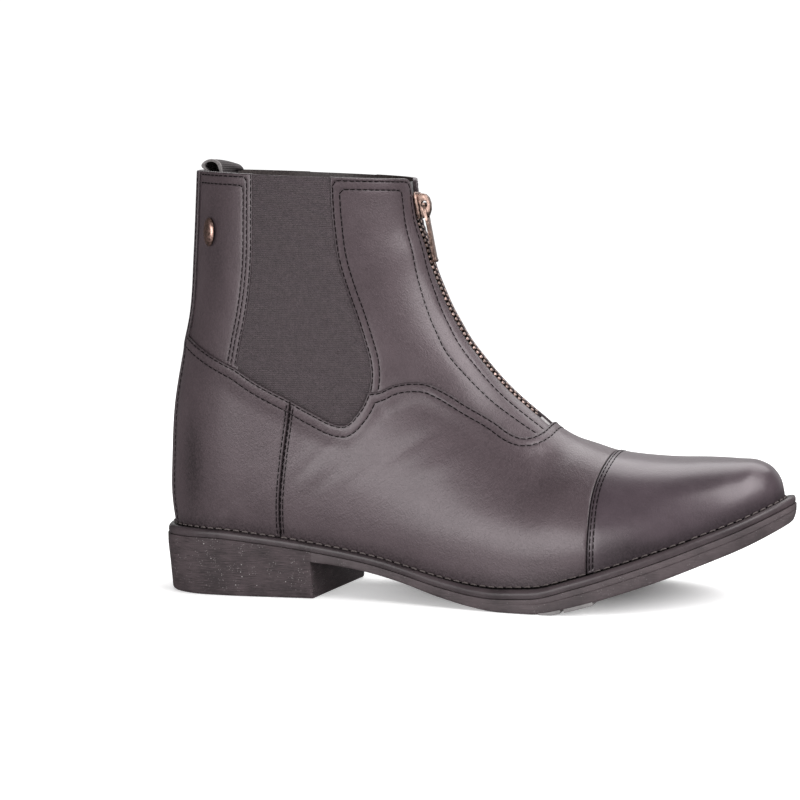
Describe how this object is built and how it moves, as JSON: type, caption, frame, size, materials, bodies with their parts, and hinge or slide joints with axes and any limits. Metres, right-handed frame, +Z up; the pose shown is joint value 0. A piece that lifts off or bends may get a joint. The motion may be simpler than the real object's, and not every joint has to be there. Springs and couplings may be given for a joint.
{
  "type": "paddock boot",
  "caption": "Ankle-high riding boot with a front zip, elastic sides, a toe cap, a welt and a low block heel.",
  "frame": {"origin": "on the floor under the middle of the heel", "axes": "+X from the heel to the toe, +Y to the inner side of the foot, +Z up"},
  "size_m": [0.3, 0.102, 0.2034],
  "materials": {
    "leather": "smooth, semi-gloss",
    "insole_leather": "matte",
    "elastic": "finely ribbed",
    "zip_cloth": "woven",
    "grey_tape": "woven",
    "sole_rubber": "matte",
    "welt_rubber": "satin",
    "grey_rubber": "matte",
    "bronze": "polished rose bronze"
  },
  "bodies": {
    "boot": {"backstay": "leather", "gore_inner": "elastic", "gore_outer": "elastic", "heel_block": "sole_rubber", "insole": "insole_leather", "outsole": "sole_rubber", "pull_loop": "leather", "quarter_inner": "leather", "quarter_outer": "leather", "side_stud": "bronze", "toe_cap": "leather", "tread_insert_front": "grey_rubber", "tread_insert_rear": "grey_rubber", "upper": "leather", "vamp": "leather", "welt": "welt_rubber", "zip_chain": "bronze", "zip_slider": "bronze", "zip_stop": "grey_tape", "zip_tape": "zip_cloth"},
    "zip_pull": {"zip_pull": "bronze"}
  },
  "joints": [
    {"name": "pull_hinge", "type": "hinge", "parent": "boot", "child": "zip_pull", "pos_m": [0.08869, 0, 0.18027], "axis": [0, -1, 0], "range_deg": [0, 150]}
  ]
}
